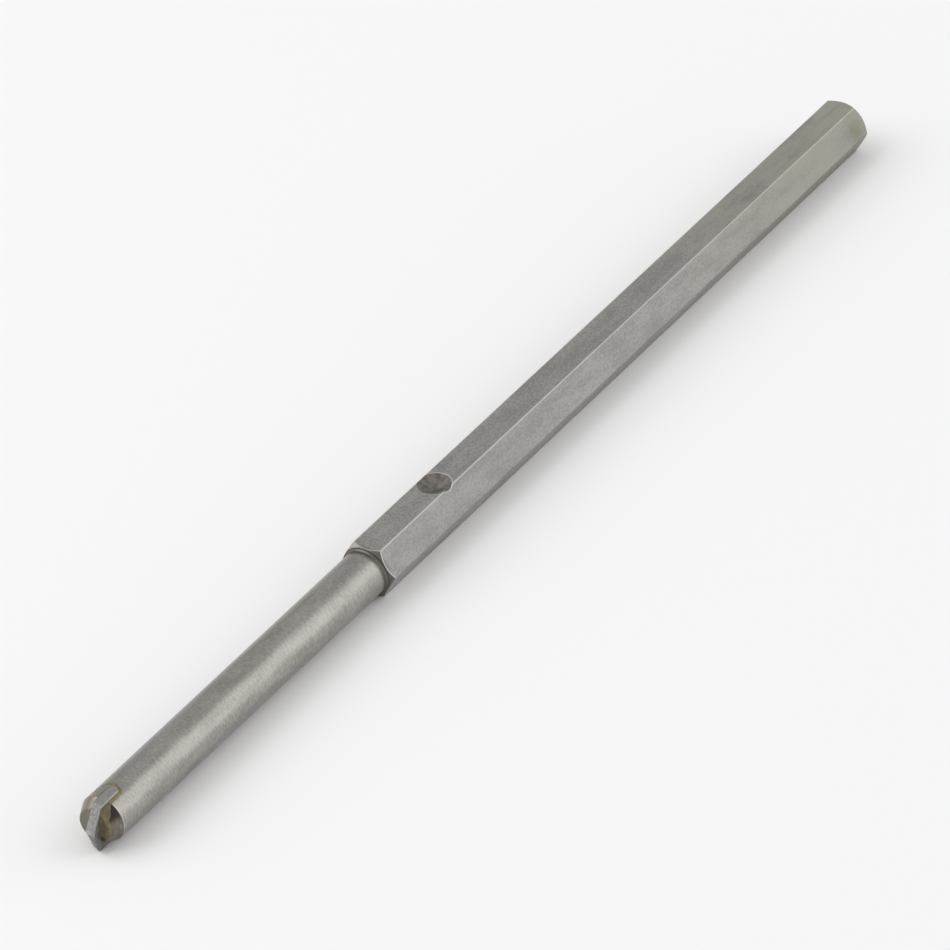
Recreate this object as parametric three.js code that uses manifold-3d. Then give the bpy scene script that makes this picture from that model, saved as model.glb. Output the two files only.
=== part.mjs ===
// Carbide-tipped centring drill with a hexagonal shank.
//
// A hexagonal steel bar is turned down to a round neck for the front third. The nose of the
// neck is coned and slotted, a tungsten-carbide plate is brazed into the slot, and a conical
// seat for a locking screw is sunk into one flat of the hexagon.
//
// Frame: X runs along the bar from the cutting tip (-X) to the tail (+X), Z is up through the
// flat with the screw seat, and the opposite flat lies on Z = 0. Millimetres.

import * as THREE from "three";
import { mergeVertices } from "three/addons/utils/BufferGeometryUtils.js";
import Module from "manifold-3d";

// Driving dimensions. Stations are distances back from the cutting tip.
const overallLength = 220;
const acrossFlats = 9;
const neckDiameter = 8;
const neckEndStation = 73.85;

const neckFilletRadius = 0.4;
const shoulderDiameter = 8.9;
const shoulderChamferAngle = 45;
const tailFaceDiameter = 8.7;
const tailChamferAngle = 45;

const noseFlatStation = 1.75;
const noseFlatDiameter = 5.8;
const noseConeEndStation = 3.9;

const plateWidth = 8.62;
const plateThickness = 1.62;
const plateRearStation = 7;
const platePointAngle = 132;
const plateReliefAngle = 2;
const plateRoll = 4.6;
const slotOffset = 0.34;

const jointGap = 0.05;
const brazeFilm = 0.15;
const brazeFlareWidth = 0.7;
const brazeFlareHeight = 0.4;
const brazeProud = 0.08;

const seatStation = 93.65;
const seatDiameter = 5.6;
const seatPointAngle = 122;

const stockClearance = 0.4;
const cutOverrun = 2;
const blockWidths = 4;

const roundSegments = 72;
const seatSegments = 64;
const arcSegments = 12;
const filletSegments = 5;

// Derived sizes.
const axisHeight = acrossFlats / 2;
const neckRadius = neckDiameter / 2;
const cornerRadius = acrossFlats / Math.sqrt(3);
const shoulderRadius = shoulderDiameter / 2;
const tailFaceRadius = tailFaceDiameter / 2;
const noseFlatRadius = noseFlatDiameter / 2;
const plateHalfThickness = plateThickness / 2;
const brazeInnerHalf = plateHalfThickness + jointGap;
const brazeOuterHalf = brazeInnerHalf + brazeFilm;
const slotHalf = brazeOuterHalf + jointGap;
const throughNeck = neckDiameter + 2 * cutOverrun;
const radians = THREE.MathUtils.degToRad;

const wasm = await Module();
wasm.setup();

// A closed three.js geometry as a manifold-3d solid.
function solidFrom(geometry) {
  const bare = geometry.clone();
  bare.deleteAttribute("normal");
  bare.deleteAttribute("uv");
  const merged = mergeVertices(bare, 1e-4);
  const mesh = new wasm.Mesh({
    numProp: 3,
    vertProperties: new Float32Array(merged.attributes.position.array),
    triVerts: new Uint32Array(merged.index.array),
  });
  return new wasm.Manifold(mesh);
}

// A manifold-3d solid as a flat-shaded three.js geometry.
function geometryFrom(solid) {
  const mesh = solid.getMesh();
  const geometry = new THREE.BufferGeometry();
  const positions = new THREE.BufferAttribute(new Float32Array(mesh.vertProperties), 3);
  geometry.setAttribute("position", positions);
  geometry.setIndex(new THREE.BufferAttribute(new Uint32Array(mesh.triVerts), 1));
  geometry.computeVertexNormals();
  return geometry;
}

// A solid of revolution about the bar's axis, from [station, radius] pairs that start and end
// on the axis, in order from the tip to the tail.
function turned(profile, segments) {
  const points = profile.map(([station, radius]) => new THREE.Vector2(radius, station));
  const geometry = new THREE.LatheGeometry(points, segments);
  geometry.rotateZ(-Math.PI / 2);
  return solidFrom(geometry);
}

// A flat outline in the plane of station and thickness, extruded across the bar through
// the cutting plate's width.
function acrossPlate(outline, width) {
  const geometry = new THREE.ExtrudeGeometry(outline, {
    depth: width,
    bevelEnabled: false,
    curveSegments: arcSegments,
  });
  geometry.translate(0, 0, -width / 2);
  return solidFrom(geometry);
}

// A bullet-shaped outline: square at the front, fully rounded at the rear.
function bulletOutline(front, rear, half) {
  const outline = new THREE.Shape();
  outline.moveTo(front, -half);
  outline.lineTo(rear - half, -half);
  outline.absarc(rear - half, 0, half, -Math.PI / 2, Math.PI / 2, false);
  outline.lineTo(front, half);
  outline.closePath();
  return outline;
}

// The concave fillet that carries the neck up to the shoulder, as [station, radius] pairs.
function neckFillet() {
  const pairs = [];
  const centreStation = neckEndStation - neckFilletRadius;
  const centreRadius = neckRadius + neckFilletRadius;
  for (let i = 0; i <= filletSegments; i += 1) {
    const angle = (Math.PI / 2) * (i / filletSegments);
    const station = centreStation + neckFilletRadius * Math.sin(angle);
    const radius = centreRadius - neckFilletRadius * Math.cos(angle);
    pairs.push([station, radius]);
  }
  return pairs;
}

// Steel bar: the hexagon and the turned envelope have their common volume, so the
// envelope's cones cut the ends of the hexagon and its neck cuts the front third.
function hexagonalBar() {
  const hexagon = new THREE.Shape();
  for (let i = 0; i < 6; i += 1) {
    const angle = (i * Math.PI) / 3;
    const across = cornerRadius * Math.cos(angle);
    const up = cornerRadius * Math.sin(angle);
    if (i === 0) hexagon.moveTo(across, up);
    else hexagon.lineTo(across, up);
  }
  hexagon.closePath();
  const geometry = new THREE.ExtrudeGeometry(hexagon, {
    depth: overallLength,
    bevelEnabled: false,
  });
  geometry.rotateX(Math.PI / 2);
  geometry.rotateZ(Math.PI / 2);
  return solidFrom(geometry);
}

function turnedEnvelope() {
  const stockRadius = cornerRadius + stockClearance;
  const shoulderRun = (stockRadius - shoulderRadius) / Math.tan(radians(shoulderChamferAngle));
  const tailRun = (stockRadius - tailFaceRadius) / Math.tan(radians(tailChamferAngle));
  return turned(
    [
      [noseFlatStation, 0],
      [noseFlatStation, noseFlatRadius],
      [noseConeEndStation, neckRadius],
      ...neckFillet(),
      [neckEndStation, shoulderRadius],
      [neckEndStation + shoulderRun, stockRadius],
      [overallLength - tailRun, stockRadius],
      [overallLength, tailFaceRadius],
      [overallLength, 0],
    ],
    roundSegments,
  );
}

// Carries a solid from the middle of the bar to the plate's place: the slot is cut a little to
// the right of the axis and turned a little from the upright.
function atPlate(solid) {
  return solid.translate([0, -slotOffset, 0]).rotate([plateRoll, 0, 0]);
}

// Slot for the cutting plate and its braze, open at the nose and on both sides.
function plateSlot() {
  const rear = plateRearStation + 2 * jointGap + brazeFilm;
  return acrossPlate(bulletOutline(-cutOverrun, rear, slotHalf), throughNeck);
}

// Conical seat for the locking screw, point down, open above the top flat.
function screwSeat() {
  const slope = Math.tan(radians(90 - seatPointAngle / 2));
  const depth = (seatDiameter / 2) * slope;
  const mouthRadius = (depth + cutOverrun) / slope;
  const points = [
    new THREE.Vector2(0, -depth),
    new THREE.Vector2(mouthRadius, cutOverrun),
    new THREE.Vector2(0, cutOverrun),
  ];
  const geometry = new THREE.LatheGeometry(points, seatSegments);
  geometry.rotateX(Math.PI / 2);
  geometry.translate(seatStation, 0, axisHeight);
  return solidFrom(geometry);
}

function shankBody() {
  return turnedEnvelope()
    .intersect(hexagonalBar())
    .subtract(atPlate(plateSlot()))
    .subtract(screwSeat());
}

// A block whose face is one of the two relief faces of the cutting plate. Side +1 is the
// upper half of the plate and side -1 the lower half.
function reliefBlock(side) {
  const size = blockWidths * plateWidth;
  const block = new THREE.BoxGeometry(size, size, size);
  block.translate(-size / 2, 0, 0);
  const alongWidth = side / Math.tan(radians(platePointAngle / 2));
  const alongThickness = side * Math.tan(radians(plateReliefAngle));
  const facing = new THREE.Vector3(-1, alongThickness, alongWidth).normalize();
  const turn = new THREE.Quaternion();
  turn.setFromUnitVectors(new THREE.Vector3(-1, 0, 0), facing);
  block.applyQuaternion(turn);
  return solidFrom(block);
}

function turnedSleeve(radius, front, rear) {
  return turned(
    [
      [front, 0],
      [front, radius],
      [rear, radius],
      [rear, 0],
    ],
    roundSegments,
  );
}

// Carbide plate: a bullet-shaped tablet, pointed like a roof by two relief faces at the front
// and ground to the cutting diameter, about the bar's axis, on its two outer edges.
function carbideTip() {
  const tablet = acrossPlate(
    bulletOutline(-cutOverrun, plateRearStation, plateHalfThickness),
    plateWidth + cutOverrun,
  );
  const sleeve = turnedSleeve(plateWidth / 2, -cutOverrun, plateRearStation + cutOverrun);
  const pointed = tablet.subtract(reliefBlock(1)).subtract(reliefBlock(-1));
  return atPlate(pointed).intersect(sleeve);
}

// Braze: a U-shaped film lining the slot round the plate, with a small fillet where it wells
// up over the nose flat on both faces of the plate.
function brazeFiller() {
  const rear = plateRearStation + jointGap + brazeFilm;
  const flareBase = noseFlatStation - jointGap;
  const outline = new THREE.Shape();
  outline.moveTo(flareBase - brazeFlareHeight, -brazeInnerHalf);
  outline.lineTo(flareBase, -brazeOuterHalf - brazeFlareWidth);
  outline.lineTo(flareBase, -brazeOuterHalf);
  outline.lineTo(rear - brazeOuterHalf, -brazeOuterHalf);
  outline.absarc(
    rear - brazeOuterHalf,
    0,
    brazeOuterHalf,
    -Math.PI / 2,
    Math.PI / 2,
    false,
  );
  outline.lineTo(flareBase, brazeOuterHalf);
  outline.lineTo(flareBase, brazeOuterHalf + brazeFlareWidth);
  outline.lineTo(flareBase - brazeFlareHeight, brazeInnerHalf);
  outline.closePath();
  const filled = acrossPlate(outline, throughNeck);
  const tabletRoom = acrossPlate(
    bulletOutline(-cutOverrun, plateRearStation + jointGap, brazeInnerHalf),
    throughNeck,
  );
  const skin = turned(
    [
      [0, 0],
      [0, noseFlatRadius],
      [noseFlatStation, noseFlatRadius],
      [noseConeEndStation, neckRadius + brazeProud],
      [plateRearStation + cutOverrun, neckRadius + brazeProud],
      [plateRearStation + cutOverrun, 0],
    ],
    roundSegments,
  );
  return atPlate(filled.subtract(tabletRoom)).intersect(skin);
}

const groundSteel = new THREE.MeshStandardMaterial({
  color: 0xa8a49c,
  roughness: 0.42,
  metalness: 1,
});
const carbide = new THREE.MeshStandardMaterial({
  color: 0x7d7b78,
  roughness: 0.5,
  metalness: 1,
});
const brass = new THREE.MeshStandardMaterial({
  color: 0x93793a,
  roughness: 0.48,
  metalness: 1,
});

function namedPiece(name, solid, material) {
  const piece = new THREE.Mesh(geometryFrom(solid), material);
  piece.name = name;
  return piece;
}

// The drill group carries the pieces in tip stations; it is set so that the bar is centred
// on the origin and its lower flat lies on the ground.
const drill = new THREE.Group();
drill.position.set(-overallLength / 2, 0, axisHeight);
drill.add(namedPiece("shank_body", shankBody(), groundSteel));
drill.add(namedPiece("carbide_tip", carbideTip(), carbide));
drill.add(namedPiece("braze_filler", brazeFiller(), brass));

export default drill;
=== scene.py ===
"""Visual model of a carbide-tipped centring drill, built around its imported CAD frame.

Lengths are named in millimetres and turned into metres where a mesh or an object is made.
A station is a distance back from the cutting tip, measured along the bar's axis.
"""

import math

import bmesh
import bpy
import numpy as np
from mathutils import Matrix, Vector, noise


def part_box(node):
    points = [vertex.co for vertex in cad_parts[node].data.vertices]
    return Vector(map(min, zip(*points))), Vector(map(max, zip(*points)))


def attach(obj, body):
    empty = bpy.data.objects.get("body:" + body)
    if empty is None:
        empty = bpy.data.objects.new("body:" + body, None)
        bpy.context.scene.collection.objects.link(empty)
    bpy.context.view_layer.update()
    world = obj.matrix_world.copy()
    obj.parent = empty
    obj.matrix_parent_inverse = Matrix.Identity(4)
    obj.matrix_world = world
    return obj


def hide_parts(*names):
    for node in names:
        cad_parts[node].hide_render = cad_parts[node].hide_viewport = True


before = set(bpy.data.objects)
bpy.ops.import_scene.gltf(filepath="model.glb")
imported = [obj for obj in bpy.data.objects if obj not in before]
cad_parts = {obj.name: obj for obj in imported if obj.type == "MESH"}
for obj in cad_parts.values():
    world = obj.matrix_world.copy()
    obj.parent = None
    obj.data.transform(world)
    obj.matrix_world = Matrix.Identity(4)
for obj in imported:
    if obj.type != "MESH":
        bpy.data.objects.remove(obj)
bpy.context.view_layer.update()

MM = 0.001

# The bar, read from the frame.
SHANK_LOW, SHANK_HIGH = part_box("shank_body")
TIP_LOW, TIP_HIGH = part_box("carbide_tip")
TIP_X = TIP_LOW[0] / MM
LENGTH = SHANK_HIGH[0] / MM - TIP_X
FLAT_RADIUS = (SHANK_HIGH[2] - SHANK_LOW[2]) / MM / 2
AXIS_HEIGHT = SHANK_LOW[2] / MM + FLAT_RADIUS
NOSE_FLAT_STATION = SHANK_LOW[0] / MM - TIP_X
PLATE_SHORT = 0.2
PLATE_REAR = TIP_HIGH[0] / MM - TIP_X - PLATE_SHORT

# Turned shape of the bar.
NECK_RADIUS = 4.0
NECK_END = 73.85
NECK_FILLET = 0.42
SHOULDER_RADIUS = 4.45
STOCK_RADIUS = 5.6
TAIL_FACE_RADIUS = 4.35
NOSE_FLAT_RADIUS = 2.9
NOSE_CONE_END = 3.9
HEX_EDGE_ROUND = 0.18
CUT_EDGE_ROUND = 0.10
NOSE_FLAT_ROUND = 0.12
NOSE_CONE_ROUND = 0.4
SHOULDER_ROUND = 0.05
TAIL_FACE_ROUND = 0.12

# Spacing of the bar's rings where its surface turns, and along its plain lengths.
NOSE_STEP = 0.25
CHAMFER_STEP = 0.04
SEAT_STEP = 0.06
PLAIN_STEP = 8.0

# Columns of points round the bar: degrees from the middle of a flat, and how many.
FLAT_HALF_TURN = 30.0
SEAT_FLAT_COLUMNS = 116
PLAIN_FLAT_COLUMNS = 20
COLUMN_MARGIN = 0.15
SEAT_EDGE_COLUMNS = (28.6, 28.2, 27.8, 27.2)

# Conical seat for the locking screw.
SEAT_STATION = 93.65
SEAT_RADIUS = 2.85
SEAT_POINT_ANGLE = 122.0
SEAT_REACH = SEAT_RADIUS + 0.5
SEAT_SPARE = 0.1

# Cutting plate, which sits a little to the right and a little askew in its slot.
PLATE_ROLL = 4.6
PLATE_TILT = 2.4
PLATE_ASIDE = -0.34
PLATE_RADIUS = 4.31
PLATE_HALF = 0.81
PLATE_POINT_ANGLE = 132.0
UPPER_RELIEF = 2.0
LOWER_RELIEF = 24.0
SLOT_HALF = 0.97
PLATE_REAR_CENTRE = PLATE_REAR - PLATE_HALF

# Wear on the plate: its ridge is flattened, and its lower corner is cut back by two
# planes, each with a setback from the corner and a lean, that take more off on the right.
RIDGE_WEAR = 0.06
RIDGE_LEAN = 0.10
CORNER_WEAR = ((0.20, 1.0), (0.24, 2.0))
CORNER_TWIST = 0.22
PLATE_EDGE_WEAR = 0.08

# The braze: its rear end, the spacing of its rings, and the bead behind the plate.
BRAZE_REAR = PLATE_REAR + 1.2
BRAZE_STEP = 0.1
BRAZE_COLUMNS = 160
BRAZE_BURIED = -0.03
BEAD_CENTRE = Vector((PLATE_REAR + 0.3, 0.75, NECK_RADIUS))
BEAD_RADIUS = 0.32
BEAD_HEIGHT = 0.18

# Millimetres in the plate's own directions (X length, Y thickness, Z width), with the
# point at the origin, to millimetres in the row frame.
PLATE_FRAME = (
    Matrix.Translation((TIP_X, 0, AXIS_HEIGHT))
    @ Matrix.Rotation(math.radians(PLATE_ROLL), 4, "X")
    @ Matrix.Translation((0, PLATE_ASIDE, 0))
    @ Matrix.Rotation(math.radians(PLATE_TILT), 4, "Y")
)
PLATE_FRAME_BACK = PLATE_FRAME.inverted()


def smooth_min(a, b, blend):
    """The lower of two surfaces, with their crossing rounded over the width blend."""
    near = np.maximum(blend - np.abs(a - b), 0.0) / blend
    return np.minimum(a, b) - near * near * blend / 4


def row_point(station, across, up):
    """A point given by its station and its offsets from the axis, as metres in the row frame."""
    return Vector((TIP_X + station, across, AXIS_HEIGHT + up)) * MM


def plate_point(station, thick, wide):
    """A point in the cutting plate's own directions, as metres in the row frame."""
    return (PLATE_FRAME @ Vector((station, thick, wide))) * MM


def add_piece(name, mesh, material):
    """Links a finished mesh as a piece of the object, riding on the one rigid body."""
    mesh.materials.append(material)
    piece = bpy.data.objects.new(name, mesh)
    bpy.context.scene.collection.objects.link(piece)
    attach(piece, "root")
    return piece


def subtract(piece, cutter):
    """Cuts one closed mesh out of another and keeps the result."""
    cut = piece.modifiers.new("cut", "BOOLEAN")
    cut.operation = "DIFFERENCE"
    cut.solver = "MANIFOLD"
    cut.object = cutter
    bake_modifiers(piece)


def shade(piece, sharp_angle):
    """Smooth shading that stops at edges sharper than the angle and keeps flats flat."""
    piece.data.shade_smooth()
    piece.data.set_sharp_from_angle(angle=math.radians(sharp_angle))
    weights = piece.modifiers.new("weights", "WEIGHTED_NORMAL")
    weights.keep_sharp = True


def bake_modifiers(piece):
    """Replaces a piece's mesh by the one its modifiers make."""
    graph = bpy.context.evaluated_depsgraph_get()
    finished = bpy.data.meshes.new_from_object(piece.evaluated_get(graph))
    finished.name = piece.data.name
    piece.modifiers.clear()
    piece.data = finished


def mesh_from_bmesh(name, bm):
    bmesh.ops.recalc_face_normals(bm, faces=bm.faces)
    for face in bm.faces:
        face.smooth = True
    mesh = bpy.data.meshes.new(name)
    bm.to_mesh(mesh)
    bm.free()
    return mesh


def skin_rings(bm, first, rings, last):
    """Faces between neighbouring rings of points, closed by a point at each end."""
    count = len(rings[0])
    for i in range(count):
        j = (i + 1) % count
        bm.faces.new((first, rings[0][j], rings[0][i]))
        bm.faces.new((last, rings[-1][i], rings[-1][j]))
    for ring, following in zip(rings, rings[1:]):
        for i in range(count):
            j = (i + 1) % count
            bm.faces.new((ring[i], ring[j], following[j], following[i]))


# ---------------------------------------------------------------- steel bar


def rounded_profile(corners, segments=6):
    """Stations and radii along a turned profile whose inner corners are arcs.

    Each corner is (station, radius, fillet).
    """
    points = [Vector(corners[0][:2])]
    for before, corner, after in zip(corners, corners[1:], corners[2:]):
        here = Vector(corner[:2])
        into = (here - Vector(before[:2])).normalized()
        away = (Vector(after[:2]) - here).normalized()
        turn = into.angle(away)
        fillet = corner[2]
        if fillet <= 0.0 or turn < 1e-4:
            points.append(here)
            continue
        reach = fillet * math.tan(turn / 2)
        start = here - into * reach
        bisector = (away - into).normalized()
        centre = here + bisector * fillet / math.cos(turn / 2)
        arm = start - centre
        spin = 1.0 if into.x * away.y - into.y * away.x > 0 else -1.0
        for i in range(segments + 1):
            points.append(centre + Matrix.Rotation(spin * turn * i / segments, 2) @ arm)
    points.append(Vector(corners[-1][:2]))
    return points


def filled_in(points, start, end, step):
    """The profile with extra points between two stations, no further apart than step."""
    result = [points[0]]
    for before, after in zip(points, points[1:]):
        inside = after.x > start and before.x < end
        count = max(1, math.ceil((after - before).length / step)) if inside else 1
        for i in range(1, count + 1):
            result.append(before.lerp(after, i / count))
    return result


NOSE_CORNERS = [
    (NOSE_FLAT_STATION, 0.0, 0.0),
    (NOSE_FLAT_STATION, NOSE_FLAT_RADIUS, NOSE_FLAT_ROUND),
    (NOSE_CONE_END, NECK_RADIUS, NOSE_CONE_ROUND),
]


def bar_profile():
    """The envelope of the bar from the centre of the nose flat to the centre of the tail."""
    shoulder_run = STOCK_RADIUS - SHOULDER_RADIUS
    tail_run = STOCK_RADIUS - TAIL_FACE_RADIUS
    points = rounded_profile(
        NOSE_CORNERS
        + [
            (NECK_END, NECK_RADIUS, NECK_FILLET),
            (NECK_END, SHOULDER_RADIUS, SHOULDER_ROUND),
            (NECK_END + shoulder_run, STOCK_RADIUS, 0.0),
            (SEAT_STATION - SEAT_REACH, STOCK_RADIUS, 0.0),
            (SEAT_STATION + SEAT_REACH, STOCK_RADIUS, 0.0),
            (LENGTH - tail_run, STOCK_RADIUS, 0.0),
            (LENGTH, TAIL_FACE_RADIUS, TAIL_FACE_ROUND),
            (LENGTH, 0.0, 0.0),
        ]
    )
    margin = 0.1
    points = filled_in(points, 0.0, NOSE_CONE_END + margin, NOSE_STEP)
    points = filled_in(points, NECK_END - 0.5, NECK_END + shoulder_run, CHAMFER_STEP)
    points = filled_in(points, SEAT_STATION - SEAT_REACH, SEAT_STATION + SEAT_REACH, SEAT_STEP)
    points = filled_in(points, LENGTH - tail_run, LENGTH - margin, CHAMFER_STEP)
    return filled_in(points, 0.0, LENGTH, PLAIN_STEP)


def bar_angles():
    """Angles round the bar, from +Z towards +Y, close together where the surface turns.

    The angles sit in six sectors, one to a flat, and the flat with the seat is finest.
    """
    half_turn = math.tan(math.radians(FLAT_HALF_TURN))
    flat_edge = math.degrees(math.atan((1 - HEX_EDGE_ROUND / FLAT_RADIUS) * half_turn))
    third = (FLAT_HALF_TURN - flat_edge) / 3
    corner = [-FLAT_HALF_TURN, third - FLAT_HALF_TURN, 2 * third - FLAT_HALF_TURN, -flat_edge]
    inner_edge = flat_edge - COLUMN_MARGIN
    beside_seat = np.array(SEAT_EDGE_COLUMNS)
    angles = []
    for side in range(6):
        count = SEAT_FLAT_COLUMNS if side == 0 else PLAIN_FLAT_COLUMNS
        across = np.linspace(-inner_edge, inner_edge, count + 1)
        if side in (1, 5):
            across = np.union1d(across, np.concatenate([-beside_seat, beside_seat]))
        sector = corner + list(across) + [-value for value in corner[:0:-1]]
        angles.extend(2 * FLAT_HALF_TURN * side + value for value in sector)
    return np.radians(np.array(angles))


def hexagon_radius(angles):
    """Distance from the axis to a hexagon with rounded corners."""
    off = (angles + math.pi / 6) % (math.pi / 3) - math.pi / 6
    core = FLAT_RADIUS - HEX_EDGE_ROUND
    side = core * math.tan(math.pi / 6)
    flat = FLAT_RADIUS / np.cos(off)
    along = core * np.cos(off) + side * np.abs(np.sin(off))
    span = core * core + side * side - HEX_EDGE_ROUND**2
    arc = along + np.sqrt(np.maximum(along * along - span, 0.0))
    return np.where(FLAT_RADIUS * np.abs(np.tan(off)) <= side, flat, arc)


def seat_radius(station, angles):
    """Distance from the axis to the screw seat's cone, or infinity away from it."""
    slope = math.tan(math.radians(90 - SEAT_POINT_ANGLE / 2))
    point = FLAT_RADIUS - SEAT_RADIUS * slope
    away = station - SEAT_STATION
    cosine = np.cos(angles)
    square = cosine**2 - (slope * np.sin(angles)) ** 2
    root = (cosine * point) ** 2 - square * (point**2 - (slope * away) ** 2)
    least = 0.05
    safe = np.where(square > least, square, 1.0)
    cone = (cosine * point + np.sqrt(np.maximum(root, 0.0))) / safe
    return np.where((square > least) & (cosine > 0), cone, np.inf)


def bar_mesh():
    """The bar as rings of points, each ring the lowest of envelope, hexagon and seat."""
    profile = bar_profile()
    angles = bar_angles()
    hexagon = hexagon_radius(angles)
    bm = bmesh.new()
    first = bm.verts.new(row_point(profile[0].x, 0, 0))
    rings = []
    for station, radius in profile[1:-1]:
        radii = smooth_min(hexagon, np.full_like(hexagon, radius), CUT_EDGE_ROUND)
        if abs(station - SEAT_STATION) < SEAT_REACH + SEAT_SPARE:
            cone = np.minimum(seat_radius(station, angles), 2 * STOCK_RADIUS)
            radii = smooth_min(radii, cone, CUT_EDGE_ROUND)
        ring = [
            bm.verts.new(row_point(station, r * math.sin(a), r * math.cos(a)))
            for r, a in zip(radii, angles)
        ]
        rings.append(ring)
    last = bm.verts.new(row_point(profile[-1].x, 0, 0))
    skin_rings(bm, first, rings, last)
    return mesh_from_bmesh("shank_bar", bm)


def slot_cutter():
    """The slot's space: a bullet outline across the nose, rounded at the rear."""
    front = -2.0
    steps = 24
    outline = [(front, -SLOT_HALF)]
    for i in range(steps + 1):
        turn = math.pi * (i / steps - 0.5)
        station = PLATE_REAR_CENTRE + SLOT_HALF * math.cos(turn)
        outline.append((station, SLOT_HALF * math.sin(turn)))
    outline.append((front, SLOT_HALF))
    reach = 2 * NECK_RADIUS
    bm = bmesh.new()
    low = [bm.verts.new(plate_point(s, t, -reach)) for s, t in outline]
    high = [bm.verts.new(plate_point(s, t, reach)) for s, t in outline]
    bm.faces.new(low)
    bm.faces.new(high)
    for i in range(len(outline)):
        j = (i + 1) % len(outline)
        bm.faces.new((low[i], low[j], high[j], high[i]))
    cutter = bpy.data.objects.new("slot_cutter", mesh_from_bmesh("slot_cutter", bm))
    bpy.context.scene.collection.objects.link(cutter)
    return cutter


def build_shank(material):
    shank = add_piece("shank_bar", bar_mesh(), material)
    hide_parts("shank_body")
    cutter = slot_cutter()
    subtract(shank, cutter)
    bpy.data.objects.remove(cutter)
    return shank


# ---------------------------------------------------------------- carbide plate


def cut_away(bm, point, normal):
    """Cuts off what lies beyond a plane and closes the cut."""
    geometry = bm.verts[:] + bm.edges[:] + bm.faces[:]
    bmesh.ops.bisect_plane(
        bm, geom=geometry, dist=1e-6, plane_co=point, plane_no=normal, clear_outer=True
    )
    rim = [edge for edge in bm.edges if edge.is_boundary]
    if rim:
        bmesh.ops.holes_fill(bm, edges=rim, sides=0)


def build_plate(material):
    """A tablet with a round rear, two ground edges and a roof point worn at its ridge.

    The mesh is cut in the plate's own directions: X length, Y thickness, Z width.
    """
    spare = 1.0
    bm = bmesh.new()
    bmesh.ops.create_cube(bm, size=1.0)
    length = PLATE_REAR + spare
    scale = Matrix.Diagonal((length, 2 * PLATE_HALF, 3 * PLATE_RADIUS, 1.0))
    place = Matrix.Translation((length / 2 - spare, 0, 0))
    bmesh.ops.transform(bm, matrix=place @ scale, verts=bm.verts)
    rear_centre = Vector((PLATE_REAR_CENTRE, 0, 0))
    for degrees in range(-80, 81, 10):
        turn = math.radians(degrees)
        outward = Vector((math.cos(turn), math.sin(turn), 0))
        cut_away(bm, rear_centre + outward * PLATE_HALF, outward)
    slope = 1 / math.tan(math.radians(PLATE_POINT_ANGLE / 2))
    upper_lean = math.tan(math.radians(UPPER_RELIEF))
    lower_lean = math.tan(math.radians(LOWER_RELIEF))
    cut_away(bm, Vector((0, 0, 0)), Vector((-1, upper_lean, slope)))
    cut_away(bm, Vector((0, PLATE_HALF, 0)), Vector((-1, lower_lean, -slope)))
    cut_away(bm, Vector((RIDGE_WEAR, 0, 0)), Vector((-1, 0, -RIDGE_LEAN)))
    axis_back = PLATE_FRAME_BACK @ Vector((TIP_X, 0, AXIS_HEIGHT))
    along = PLATE_FRAME_BACK.to_3x3() @ Vector((1, 0, 0))
    for side in (-1, 1):
        for degrees in range(-18, 19, 3):
            turn = math.radians(degrees)
            outward = Vector((0, math.sin(turn), side * math.cos(turn)))
            outward -= along * outward.dot(along)
            outward.normalize()
            cut_away(bm, axis_back + outward * PLATE_RADIUS, outward)
    rise = PLATE_RADIUS * slope - PLATE_HALF * lower_lean
    for setback, lean in CORNER_WEAR:
        corner = Vector((rise + setback, 0, -PLATE_RADIUS))
        cut_away(bm, corner, Vector((-1, lower_lean - CORNER_TWIST, -lean)))
    bmesh.ops.transform(bm, matrix=Matrix.Scale(MM, 4) @ PLATE_FRAME, verts=bm.verts)
    bmesh.ops.dissolve_limit(bm, angle_limit=math.radians(0.5), verts=bm.verts, edges=bm.edges)
    plate = add_piece(
        "carbide_plate", mesh_from_bmesh("carbide_plate", bm), material
    )
    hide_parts("carbide_tip")
    edges = plate.modifiers.new("worn_edges", "BEVEL")
    edges.width = PLATE_EDGE_WEAR * MM
    edges.segments = 3
    edges.limit_method = "ANGLE"
    edges.angle_limit = math.radians(20)
    bake_modifiers(plate)
    return plate


# ---------------------------------------------------------------- braze


def smooth_step(value, low, high):
    share = min(max((value - low) / (high - low), 0.0), 1.0)
    return share * share * (3 - 2 * share)


def braze_height(point):
    """How far the braze stands over the steel at a point of the nose, in millimetres.

    Filler has run out wide on the plate's right side, over the cone and the whole nose
    flat, and shows as a thin line on its left. It is below the steel where there is none.
    """
    station, thick, wide = PLATE_FRAME_BACK @ point
    gap = math.hypot(max(station - PLATE_REAR_CENTRE, 0.0), thick) - PLATE_HALF
    wobble = 0.16 * noise.noise(point * 1.1) + 0.07 * noise.noise(point * 3.3)
    on_cone = smooth_step(station, NOSE_CONE_END - 0.2, NOSE_CONE_END - 1.4)
    on_flat = smooth_step(station, NOSE_FLAT_STATION + 0.35, NOSE_FLAT_STATION)
    right_reach = 0.52 + 0.7 * on_cone + 1.3 * on_flat
    left_reach = 0.36 + 0.15 * on_flat
    side = smooth_step(thick, 0.6, -0.6)
    reach = left_reach + (right_reach - left_reach) * side + wobble
    edge_slope = 0.14
    full_film = 0.035 + 0.03 * noise.noise(point * 2.3)
    film = min((reach - gap) * edge_slope, full_film)
    meniscus_height = 0.06
    meniscus_width = 0.2
    meniscus = meniscus_height * math.exp(-((max(gap, 0.0) / meniscus_width) ** 2))
    away = (Vector((station, thick, wide)) - BEAD_CENTRE).length
    bead = BEAD_HEIGHT * math.exp(-((away / BEAD_RADIUS) ** 2)) + BRAZE_BURIED
    return max(film + (meniscus if reach > gap else 0.0), bead, BRAZE_BURIED)


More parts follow.
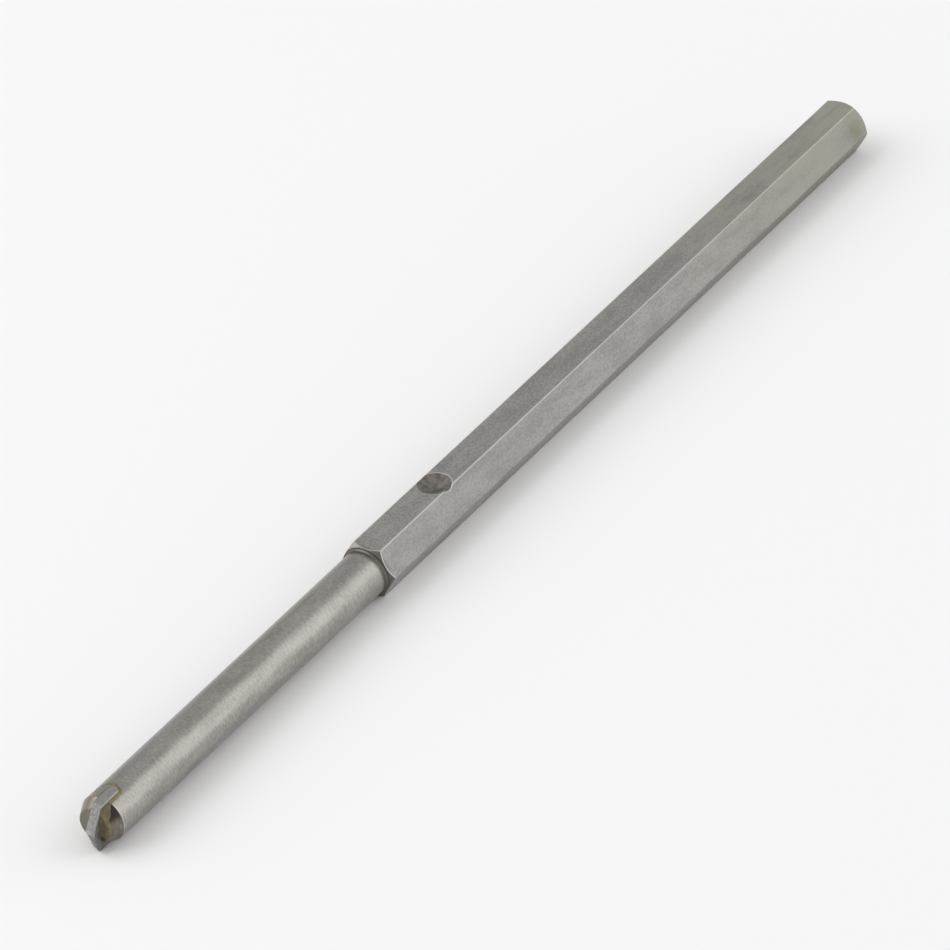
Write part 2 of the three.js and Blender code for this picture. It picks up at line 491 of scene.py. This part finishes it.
def build_braze(material, shank, plate):
    """Filler that fills the slot round the plate and laps over the nose."""
    corners = NOSE_CORNERS + [(BRAZE_REAR, NECK_RADIUS, 0.0)]
    profile = filled_in(rounded_profile(corners), 0, BRAZE_REAR, BRAZE_STEP)
    turns = [2 * math.pi * i / BRAZE_COLUMNS for i in range(BRAZE_COLUMNS)]
    bm = bmesh.new()
    rings = []
    for before, here, after in zip(profile, profile[1:], profile[2:]):
        along = (after - before).normalized()
        ring = []
        for turn in turns:
            across = Vector((0, math.sin(turn), math.cos(turn)))
            place = Vector((TIP_X + here.x, 0, AXIS_HEIGHT)) + across * here.y
            normal = Vector((-along.y, 0, 0)) + across * along.x
            ring.append(bm.verts.new((place + normal * braze_height(place)) * MM))
        rings.append(ring)
    first = bm.verts.new(row_point(NOSE_FLAT_STATION - BRAZE_BURIED, 0, 0))
    last = bm.verts.new(row_point(BRAZE_REAR, 0, 0))
    skin_rings(bm, first, rings, last)
    braze = add_piece("braze_bead", mesh_from_bmesh("braze_bead", bm), material)
    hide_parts("braze_filler")
    subtract(braze, shank)
    subtract(braze, plate)
    return braze


# ---------------------------------------------------------------- materials


class Nodes:
    """A small helper for building a material's node tree."""

    def __init__(self, name):
        self.material = bpy.data.materials.new(name)
        self.material.use_nodes = True
        self.tree = self.material.node_tree
        self.shader = self.tree.nodes["Principled BSDF"]

    def make(self, kind, **settings):
        node = self.tree.nodes.new(kind)
        for key, value in settings.items():
            setattr(node, key, value)
        return node

    def link(self, source, target):
        self.tree.links.new(source, target)

    def feed(self, socket, value):
        """Sets a socket to a number or a colour, or links it to another node's output."""
        if isinstance(value, bpy.types.NodeSocket):
            self.link(value, socket)
        else:
            socket.default_value = value

    def position(self):
        """The point in the object's own frame, in millimetres."""
        coords = self.make("ShaderNodeTexCoord")
        scaled = self.make("ShaderNodeVectorMath", operation="SCALE")
        self.link(coords.outputs["Object"], scaled.inputs[0])
        scaled.inputs["Scale"].default_value = 1 / MM
        return scaled.outputs[0]

    def stretched(self, vector, factors):
        node = self.make("ShaderNodeVectorMath", operation="MULTIPLY")
        self.link(vector, node.inputs[0])
        node.inputs[1].default_value = factors
        return node.outputs[0]

    def noise(self, vector, scale, detail=3.0, roughness=0.5):
        node = self.make("ShaderNodeTexNoise")
        self.link(vector, node.inputs["Vector"])
        node.inputs["Scale"].default_value = scale
        node.inputs["Detail"].default_value = detail
        node.inputs["Roughness"].default_value = roughness
        return node.outputs["Fac"]

    def math(self, operation, a, b=0.0):
        node = self.make("ShaderNodeMath", operation=operation)
        self.feed(node.inputs[0], a)
        self.feed(node.inputs[1], b)
        return node.outputs[0]

    def ramp(self, value, low, high, low_out=0.0, high_out=1.0):
        """value mapped smoothly from low..high to low_out..high_out."""
        node = self.make("ShaderNodeMapRange", interpolation_type="SMOOTHSTEP")
        self.feed(node.inputs["Value"], value)
        node.inputs["From Min"].default_value = low
        node.inputs["From Max"].default_value = high
        node.inputs["To Min"].default_value = low_out
        node.inputs["To Max"].default_value = high_out
        return node.outputs["Result"]

    def mix(self, factor, a, b):
        node = self.make("ShaderNodeMix", data_type="RGBA")
        self.feed(node.inputs[0], factor)
        self.feed(node.inputs[6], a)
        self.feed(node.inputs[7], b)
        return node.outputs[2]

    def bump(self, height, strength, distance):
        node = self.make("ShaderNodeBump")
        self.link(height, node.inputs["Height"])
        node.inputs["Strength"].default_value = strength
        node.inputs["Distance"].default_value = distance
        self.link(node.outputs["Normal"], self.shader.inputs["Normal"])


def rgb(red, green, blue):
    return (red, green, blue, 1.0)


# Base colours, given as the dark and the pale end of a surface's grain where there are two.
# The tones follow the photograph, and some of what they carry there is its light: the side
# flats are darker than the others, and the tail of the top flat is paler.
SIDE_FLATS = (rgb(0.24, 0.232, 0.22), rgb(0.345, 0.337, 0.32))
OTHER_FLATS = (rgb(0.29, 0.28, 0.265), rgb(0.42, 0.41, 0.39))
TURNED_NECK = (rgb(0.285, 0.27, 0.248), rgb(0.41, 0.395, 0.37))
TAIL_TINT = rgb(0.30, 0.295, 0.245)
TAIL_TOP_PAINTED_LIGHT = rgb(0.47, 0.465, 0.40)
TAIL_SMUDGE = rgb(0.18, 0.17, 0.12)
HEX_EDGE_WEAR_AND_HIGHLIGHT = rgb(0.58, 0.56, 0.50)
RIM_PAINTED_HIGHLIGHT = rgb(0.66, 0.63, 0.58)
CHAMFER_PAINTED_SHADE = rgb(0.135, 0.12, 0.105)
FILLET_PAINTED_SHADE = rgb(0.125, 0.113, 0.10)
CHAMFER_PAINTED_LIGHT = rgb(0.50, 0.45, 0.39)
SEAT_RUST = (rgb(0.155, 0.14, 0.125), rgb(0.26, 0.24, 0.22))
FLUX_BAND = rgb(0.24, 0.175, 0.09)
PLATE_STAIN = rgb(0.25, 0.17, 0.08)
LEFT_NOSE = (rgb(0.30, 0.265, 0.225), rgb(0.185, 0.17, 0.14))
RIGHT_NOSE = (rgb(0.20, 0.18, 0.15), rgb(0.13, 0.11, 0.08))
TURNED_STREAK = rgb(0.27, 0.25, 0.22)
SCORCH = rgb(0.07, 0.05, 0.035)
CONE_PAINTED_REFLECTION = rgb(0.035, 0.035, 0.033)
CONE_RIM_HIGHLIGHT = rgb(0.60, 0.58, 0.54)
CARBIDE_OUTER = (rgb(0.29, 0.28, 0.265), rgb(0.39, 0.375, 0.355))
CARBIDE_LOWER_PAINTED_SHADE = (rgb(0.20, 0.20, 0.19), rgb(0.30, 0.295, 0.28))
CARBIDE_RELIEF_PAINTED_LIGHT = (rgb(0.26, 0.26, 0.247), rgb(0.42, 0.41, 0.39))
CARBIDE_WORN = rgb(0.62, 0.60, 0.54)
CARBIDE_EDGE_HIGHLIGHT = rgb(0.62, 0.61, 0.59)
OLIVE_BRASS = (rgb(0.15, 0.13, 0.08), rgb(0.25, 0.225, 0.145))
ORANGE_BRASS = rgb(0.30, 0.21, 0.11)
BRASS_BEAD = rgb(0.46, 0.31, 0.13)
BURNT_FLUX = rgb(0.06, 0.045, 0.03)
FLOOR_WHITE = rgb(0.94, 0.94, 0.94)


def plate_coordinates(nodes, point):
    """Outputs for a point's length, thickness and width in the plate's directions."""
    outputs = []
    for row in PLATE_FRAME_BACK.to_3x3().row[:3]:
        dot = nodes.make("ShaderNodeVectorMath", operation="DOT_PRODUCT")
        nodes.link(point, dot.inputs[0])
        dot.inputs[1].default_value = row
        outputs.append(dot.outputs["Value"])
    offsets = PLATE_FRAME_BACK.translation
    return [nodes.math("ADD", output, offset) for output, offset in zip(outputs, offsets)]


def spot(nodes, point, centre, radius, wobble, blur=0.35):
    """A blurred, uneven spot round a centre given in row-frame millimetres."""
    away = nodes.make("ShaderNodeVectorMath", operation="DISTANCE")
    nodes.link(point, away.inputs[0])
    away.inputs[1].default_value = centre
    uneven = nodes.math("ADD", away.outputs["Value"], wobble)
    return nodes.ramp(uneven, radius * (1 + blur), radius * (1 - blur))


def product(nodes, *factors):
    """The product of several masks."""
    total = factors[0]
    for factor in factors[1:]:
        total = nodes.math("MULTIPLY", total, factor)
    return total


def narrow_band(nodes, value, centre, outer, inner):
    """A mask that is full within inner of a centre and gone at outer."""
    away = nodes.math("ABSOLUTE", nodes.math("SUBTRACT", value, centre))
    return nodes.ramp(away, outer, inner)


def bare_steel(nodes, point, along, height, radius):
    """Colour, roughness and grain of the metal without its stains."""
    turned_grain = (7.0, 1.2, 1.2)
    ground_grain = (2.0, 2.8, 2.8)
    long_clouds = (0.14, 0.5, 0.5)
    neck = nodes.ramp(along, TIP_X + NECK_END + 0.1, TIP_X + NECK_END - 0.1)
    rings = nodes.noise(nodes.stretched(point, turned_grain), 1.0, 3.0, 0.6)
    grain = nodes.noise(nodes.stretched(point, ground_grain), 1.0, 4.0, 0.65)
    cloud = nodes.noise(nodes.stretched(point, long_clouds), 1.0, 3.0, 0.5)
    change = product(nodes, neck, nodes.math("SUBTRACT", rings, grain))
    texture = nodes.math("ADD", grain, change)
    grain_share = 0.7
    mixed = nodes.math(
        "ADD", product(nodes, texture, grain_share), product(nodes, cloud, 1 - grain_share)
    )
    tone = nodes.ramp(mixed, 0.38, 0.62)
    # Painted light and shade: the side flats get a darker base, the top and lower flats a paler
    # one.
    top = nodes.ramp(height, 2 * AXIS_HEIGHT - 0.12, 2 * AXIS_HEIGHT - 0.06)
    below = nodes.ramp(height, AXIS_HEIGHT - 0.1, AXIS_HEIGHT - 0.4)
    not_side = nodes.math("MAXIMUM", top, below)
    flats = nodes.mix(not_side, nodes.mix(tone, *SIDE_FLATS), nodes.mix(tone, *OTHER_FLATS))
    near_tail = nodes.ramp(along, TIP_X + 150, TIP_X + 222)
    tail = product(nodes, near_tail, nodes.ramp(cloud, 0.2, 0.6))
    flats = nodes.mix(product(nodes, tail, 0.8), flats, TAIL_TINT)
    # Painted light: the tail end of the top flat is made paler.
    flats = nodes.mix(product(nodes, tail, top, 0.7), flats, TAIL_TOP_PAINTED_LIGHT)
    # Worn edges and painted highlight: the upper hex edges are made paler, fading towards the tail.
    edge_radius = FLAT_RADIUS / math.cos(math.pi / 6)
    edge = nodes.ramp(radius, edge_radius - 0.12, edge_radius - 0.05)
    edge = product(nodes, edge, nodes.ramp(height, AXIS_HEIGHT + 1, AXIS_HEIGHT + 2))
    fading = nodes.ramp(along, TIP_X + 60, TIP_X + LENGTH, 0.65, 0.3)
    flats = nodes.mix(product(nodes, edge, fading), flats, HEX_EDGE_WEAR_AND_HIGHLIGHT)
    base = nodes.mix(neck, flats, nodes.mix(tone, *TURNED_NECK))
    rough_neck = nodes.ramp(texture, 0.3, 0.7, 0.33, 0.43)
    rough_flats = nodes.ramp(texture, 0.3, 0.7, 0.42, 0.54)
    rough_change = product(nodes, neck, nodes.math("SUBTRACT", rough_neck, rough_flats))
    return base, nodes.math("ADD", rough_flats, rough_change), texture


def shoulder_painted_light(nodes, base, along, across, radius, wobble):
    """Painted shade in the corner and the fillet, painted light on the chamfer's far side, and a
    painted highlight on the rim where the flats begin.
    """
    shoulder = TIP_X + NECK_END
    # Painted shade in the corner where the neck meets the shoulder, over the chamfer.
    corner = nodes.ramp(nodes.math("ADD", along, wobble), shoulder - 1.5, shoulder - 0.2)
    rise = nodes.math("SUBTRACT", radius, SHOULDER_RADIUS)
    beyond = nodes.math("SUBTRACT", nodes.math("SUBTRACT", along, shoulder), rise)
    chamfer = nodes.ramp(beyond, 0.10, 0.0)
    corner_shade = product(nodes, corner, chamfer)
    base = nodes.mix(product(nodes, corner_shade, 0.8), base, CHAMFER_PAINTED_SHADE)
    # Painted shade: a dark band on the neck just before the shoulder.
    fillet = product(nodes, narrow_band(nodes, along, shoulder - 0.2, 1.1, 0.25), 0.8)
    base = nodes.mix(fillet, base, FILLET_PAINTED_SHADE)
    # Painted light: the chamfer is paler on the far side.
    behind = nodes.ramp(along, shoulder, shoulder + 0.1)
    far_side = product(nodes, chamfer, behind, nodes.ramp(across, 0.2, 1.8), 0.8)
    base = nodes.mix(far_side, base, CHAMFER_PAINTED_LIGHT)
    # Painted highlight: a pale rim where the flats begin.
    outside = nodes.ramp(radius, SHOULDER_RADIUS, SHOULDER_RADIUS + 0.05)
    in_front = nodes.ramp(along, shoulder + 2.5, shoulder + 2.0)
    rim = product(nodes, narrow_band(nodes, beyond, 0.12, 0.14, 0.04), outside, in_front, 0.7)
    return nodes.mix(rim, base, RIM_PAINTED_HIGHLIGHT), corner_shade


def seat_rust_and_highlight(nodes, base, point, height, coarse):
    """A rough, rusty inside to the screw seat and a painted highlight on its rim's tail side."""
    blur = 0.02
    flat_point = nodes.stretched(point, (1.0, 1.0, 0.0))
    centre = (TIP_X + SEAT_STATION, 0.0, 0.0)
    upper = nodes.ramp(height, AXIS_HEIGHT, AXIS_HEIGHT + 1)
    inner = spot(nodes, flat_point, centre, SEAT_RADIUS - 0.02, 0.0, blur)
    inside = product(nodes, inner, upper)
    rust = nodes.mix(nodes.ramp(coarse, 0.35, 0.65), *SEAT_RUST)
    # Painted highlight on the seat's rim, on its tail side.
    beside = (TIP_X + SEAT_STATION + 0.16, -0.04, 0.0)
    outer = spot(nodes, flat_point, beside, SEAT_RADIUS + 0.04, 0.0, blur)
    base = nodes.mix(product(nodes, outer, upper, 0.6), base, RIM_PAINTED_HIGHLIGHT)
    return nodes.mix(inside, base, rust), inside


def nose_stains_and_painted_light(nodes, base, point, coarse, wobble):
    """Stains round the brazed plate, the dark that the cone's right side shows, and a painted
    highlight on the cone's rim.

    In the photograph that dark is mostly a reflection. It is held here as a base colour,
    so it stays on the cone in every view.
    """
    station, thick, wide = plate_coordinates(nodes, point)
    above = nodes.ramp(wide, 1.0, 2.5)
    left = nodes.ramp(thick, -0.2, 0.3)
    right = nodes.ramp(thick, -0.6, -1.0)
    nose = nodes.ramp(station, NOSE_CONE_END + 0.15, NOSE_CONE_END - 0.15)
    flat = nodes.ramp(station, NOSE_FLAT_STATION + 0.2, NOSE_FLAT_STATION + 0.05)

    def distance_behind(start, aside):
        behind = nodes.math("MAXIMUM", nodes.math("SUBTRACT", station, start), 0.0)
        across = nodes.math("SUBTRACT", thick, aside)
        squares = nodes.math("ADD", product(nodes, behind, behind), product(nodes, across, across))
        return nodes.math("SQRT", squares)

    lumps = nodes.math("SUBTRACT", nodes.noise(point, 1.4, 3.0, 0.6), 0.5)
    uneven = product(nodes, lumps, 0.9)
    ring = nodes.math("ADD", distance_behind(5.3, 0.8), uneven)
    behind_cone = nodes.ramp(station, NOSE_CONE_END + 0.2, NOSE_CONE_END + 1.2)
    band = product(nodes, narrow_band(nodes, ring, 2.0, 0.42, 0.12), above, left, behind_cone, 0.75)
    base = nodes.mix(band, base, FLUX_BAND)

    gap = nodes.math("SUBTRACT", distance_behind(PLATE_REAR_CENTRE, 0.0), PLATE_HALF)
    beside = nodes.ramp(nodes.math("ADD", gap, product(nodes, uneven, 0.4)), 0.62, 0.40)
    base = nodes.mix(product(nodes, beside, 0.8), base, PLATE_STAIN)

    far_left = product(nodes, nose, nodes.ramp(thick, 0.3, 0.8), 0.85)
    base = nodes.mix(far_left, base, nodes.mix(flat, *LEFT_NOSE))
    brown = nodes.mix(nodes.ramp(coarse, 0.35, 0.6), *RIGHT_NOSE)
    turned = nodes.noise(nodes.stretched(point, (9.0, 0.6, 0.6)), 1.0, 3.0, 0.6)
    brown = nodes.mix(nodes.ramp(turned, 0.5, 0.75), brown, TURNED_STREAK)
    base = nodes.mix(product(nodes, nose, right, 0.85), base, brown)
    scorch = spot(nodes, point, PLATE_FRAME @ Vector((2.5, -2.0, 2.4)), 0.8, wobble)
    base = nodes.mix(product(nodes, scorch, 0.55), base, SCORCH)
    # Painted reflection: the dark on the cone's right side.
    dark = product(nodes, nodes.ramp(wide, 1.3, 2.7), nose, right, 0.85)
    base = nodes.mix(dark, base, CONE_PAINTED_REFLECTION)
    # Painted highlight along the cone's rim on its right side.
    cone_end = narrow_band(nodes, station, NOSE_CONE_END, 0.14, 0.04)
    rim = product(nodes, cone_end, right, nodes.ramp(wide, -3.0, 0.5), 0.6)
    return nodes.mix(rim, base, CONE_RIM_HIGHLIGHT)


def steel_material():
    nodes = Nodes("ground_steel")
    point = nodes.position()
    split = nodes.make("ShaderNodeSeparateXYZ")
    nodes.link(point, split.inputs[0])
    along = split.outputs["X"]
    height = split.outputs["Z"]
    off_axis = nodes.make("ShaderNodeVectorMath", operation="DISTANCE")
    nodes.link(nodes.stretched(point, (0.0, 1.0, 1.0)), off_axis.inputs[0])
    off_axis.inputs[1].default_value = (0.0, 0.0, AXIS_HEIGHT)
    radius = off_axis.outputs["Value"]
    coarse = nodes.noise(point, 0.9, 4.0, 0.6)
    wobble = product(nodes, nodes.math("SUBTRACT", coarse, 0.5), 1.4)

    base, rough, texture = bare_steel(nodes, point, along, height, radius)
    tail_corner = (TIP_X + LENGTH - 3.2, -4.4, AXIS_HEIGHT + 1.3)
    smudge = spot(nodes, point, tail_corner, 1.9, product(nodes, wobble, 2.5), 1.2)
    base = nodes.mix(product(nodes, smudge, 0.6), base, TAIL_SMUDGE)
    base, corner_shade = shoulder_painted_light(nodes, base, along, split.outputs["Y"], radius, wobble)
    base, inside = seat_rust_and_highlight(nodes, base, point, height, coarse)
    base = nose_stains_and_painted_light(nodes, base, point, coarse, wobble)

    nodes.feed(nodes.shader.inputs["Base Color"], base)
    nodes.shader.inputs["Metallic"].default_value = 1.0
    dirt = nodes.math("ADD", product(nodes, corner_shade, 0.15), product(nodes, inside, 0.2))
    nodes.feed(nodes.shader.inputs["Roughness"], nodes.math("ADD", rough, dirt))
    nodes.bump(texture, 0.35, 0.00002)
    return nodes.material


def carbide_material():
    """Ground carbide with painted light: palest on the upper relief face, darkest below, with a
    worn spot at the point and a painted highlight along one outer edge.
    """
    nodes = Nodes("tungsten_carbide")
    point = nodes.position()
    mottle = nodes.noise(point, 2.6, 5.0, 0.65)
    tone = nodes.ramp(mottle, 0.35, 0.65)
    coords = nodes.make("ShaderNodeTexCoord")
    facing = nodes.make("ShaderNodeVectorMath", operation="DOT_PRODUCT")
    nodes.link(coords.outputs["Normal"], facing.inputs[0])
    facing.inputs[1].default_value = (-1.0, 0.0, 0.0)
    forward = nodes.ramp(facing.outputs["Value"], 0.35, 0.75)
    thick, wide = plate_coordinates(nodes, point)[1:]
    # Painted light and shade: the lower part of the plate darker, the upper relief face paler.
    upper = product(nodes, forward, nodes.ramp(wide, -0.75, -0.45))
    outer_face = nodes.mix(tone, *CARBIDE_OUTER)
    lower_face = nodes.mix(tone, *CARBIDE_LOWER_PAINTED_SHADE)
    base = nodes.mix(nodes.ramp(wide, -0.5, 0.3), lower_face, outer_face)
    base = nodes.mix(upper, base, nodes.mix(tone, *CARBIDE_RELIEF_PAINTED_LIGHT))
    worn = spot(nodes, point, PLATE_FRAME @ Vector((0.1, 0.35, -0.1)), 0.45, 0.0)
    base = nodes.mix(product(nodes, worn, forward, 0.5), base, CARBIDE_WORN)
    # Painted highlight along one long outer edge of the plate.
    side = nodes.ramp(thick, -PLATE_HALF + 0.10, -PLATE_HALF + 0.04)
    outer = nodes.ramp(wide, PLATE_RADIUS - 0.42, PLATE_RADIUS - 0.32)
    painted_edge_highlight = product(nodes, side, outer, nodes.ramp(forward, 0.6, 0.2))
    base = nodes.mix(painted_edge_highlight, base, CARBIDE_EDGE_HIGHLIGHT)
    nodes.feed(nodes.shader.inputs["Base Color"], base)
    nodes.shader.inputs["Metallic"].default_value = 1.0
    nodes.feed(nodes.shader.inputs["Roughness"], nodes.ramp(mottle, 0.3, 0.7, 0.40, 0.55))
    nodes.bump(mottle, 0.5, 0.00003)
    return nodes.material


def braze_material():
    """Dull olive brass with orange streaks and burnt flux."""
    nodes = Nodes("braze_brass")
    point = nodes.position()
    mottle = nodes.noise(point, 1.6, 5.0, 0.6)
    streak = nodes.noise(nodes.stretched(point, (2.0, 2.0, 0.8)), 1.1, 3.0, 0.6)
    olive = nodes.mix(nodes.ramp(mottle, 0.3, 0.7), *OLIVE_BRASS)
    station = plate_coordinates(nodes, point)[0]
    rear = nodes.ramp(station, 3.6, 6.2)
    strength = nodes.ramp(rear, 0.0, 1.0, 0.25, 0.9)
    orange = product(nodes, nodes.ramp(streak, 0.42, 0.62), strength)
    base = nodes.mix(orange, olive, ORANGE_BRASS)
    bead = spot(nodes, point, PLATE_FRAME @ BEAD_CENTRE, 0.38, 0.0)
    base = nodes.mix(bead, base, BRASS_BEAD)
    wobble = product(nodes, nodes.math("SUBTRACT", mottle, 0.5), 1.2)
    pit = PLATE_FRAME @ Vector((1.8, -1.25, -1.9))
    burnt = spot(nodes, point, pit, 0.42, wobble)
    base = nodes.mix(product(nodes, burnt, 0.7), base, BURNT_FLUX)
    nodes.feed(nodes.shader.inputs["Base Color"], base)
    nodes.shader.inputs["Metallic"].default_value = 1.0
    nodes.feed(nodes.shader.inputs["Roughness"], nodes.ramp(mottle, 0.3, 0.7, 0.42, 0.6))
    nodes.bump(mottle, 0.5, 0.00004)
    return nodes.material


def floor_material():
    nodes = Nodes("pale_floor")
    nodes.shader.inputs["Base Color"].default_value = FLOOR_WHITE
    nodes.shader.inputs["Roughness"].default_value = 1.0
    nodes.shader.inputs["Specular IOR Level"].default_value = 0.0
    return nodes.material


# ---------------------------------------------------------------- stage


def build_floor(material):
    """A square floor just under the drill, in metres."""
    half = 4.0
    gap = 0.00002
    bm = bmesh.new()
    quarters = ((-1, -1), (1, -1), (1, 1), (-1, 1))
    bm.faces.new([bm.verts.new((x * half, y * half, 0.0)) for x, y in quarters])
    mesh = bpy.data.meshes.new("floor")
    bm.to_mesh(mesh)
    bm.free()
    mesh.materials.append(material)
    floor = bpy.data.objects.new("floor", mesh)
    bpy.context.scene.collection.objects.link(floor)
    floor.location.z = SHANK_LOW[2] - gap


def area_light(name, location, size, power):
    """A soft square light that faces the drill and is not itself seen."""
    data = bpy.data.lights.new(name, "AREA")
    data.shape = "SQUARE"
    data.size = size
    data.energy = power
    light = bpy.data.objects.new(name, data)
    bpy.context.scene.collection.objects.link(light)
    light.location = location
    light.rotation_mode = "QUATERNION"
    light.rotation_quaternion = (-Vector(location)).to_track_quat("-Z", "Y")
    light.visible_camera = False


def build_world():
    """A pale surround that is a little dimmer towards the drill's far side."""
    level = 0.68
    far_level = 0.56
    world = bpy.data.worlds.new("studio")
    bpy.context.scene.world = world
    world.use_nodes = True
    tree = world.node_tree
    background = tree.nodes["Background"]
    background.inputs["Color"].default_value = rgb(1.0, 1.0, 1.0)
    coords = tree.nodes.new("ShaderNodeTexCoord")
    split = tree.nodes.new("ShaderNodeSeparateXYZ")
    tree.links.new(coords.outputs["Generated"], split.inputs[0])
    fade = tree.nodes.new("ShaderNodeMapRange")
    tree.links.new(split.outputs["Y"], fade.inputs["Value"])
    fade.inputs["From Min"].default_value = 0.45
    fade.inputs["From Max"].default_value = 0.95
    fade.inputs["To Min"].default_value = level
    fade.inputs["To Max"].default_value = far_level
    tree.links.new(fade.outputs["Result"], background.inputs["Strength"])


def build_lights():
    build_world()
    area_light("key", (-0.9, 1.2, 1.3), 1.8, 17.0)
    area_light("side", (1.05, -1.25, 0.85), 1.8, 9.5)


def build_camera():
    """A long lens at the photograph's viewing angle, rolled a little anticlockwise."""
    azimuth = math.radians(-52.92)
    elevation = math.radians(36.08)
    roll = math.radians(-5.257)
    distance = 0.9976
    target = Vector((-5.83, -0.36, 3.96)) * MM
    back = Vector(
        (
            math.sin(azimuth) * math.cos(elevation),
            -math.cos(azimuth) * math.cos(elevation),
            math.sin(elevation),
        )
    )
    data = bpy.data.cameras.new("camera")
    data.sensor_width = 36.0
    data.lens = 233.6
    camera = bpy.data.objects.new("camera", data)
    bpy.context.scene.collection.objects.link(camera)
    camera.rotation_mode = "QUATERNION"
    upright = (-back).to_track_quat("-Z", "Y")
    camera.rotation_quaternion = upright @ Matrix.Rotation(roll, 3, "Z").to_quaternion()
    camera.location = target + back * distance
    data.clip_start = 0.05
    data.clip_end = 20.0
    bpy.context.scene.camera = camera


shank = build_shank(steel_material())
plate = build_plate(carbide_material())
braze = build_braze(braze_material(), shank, plate)
shade(shank, 40)
shade(plate, 30)
shade(braze, 50)
build_floor(floor_material())
build_lights()
build_camera()
bpy.context.scene.view_settings.view_transform = "Standard"
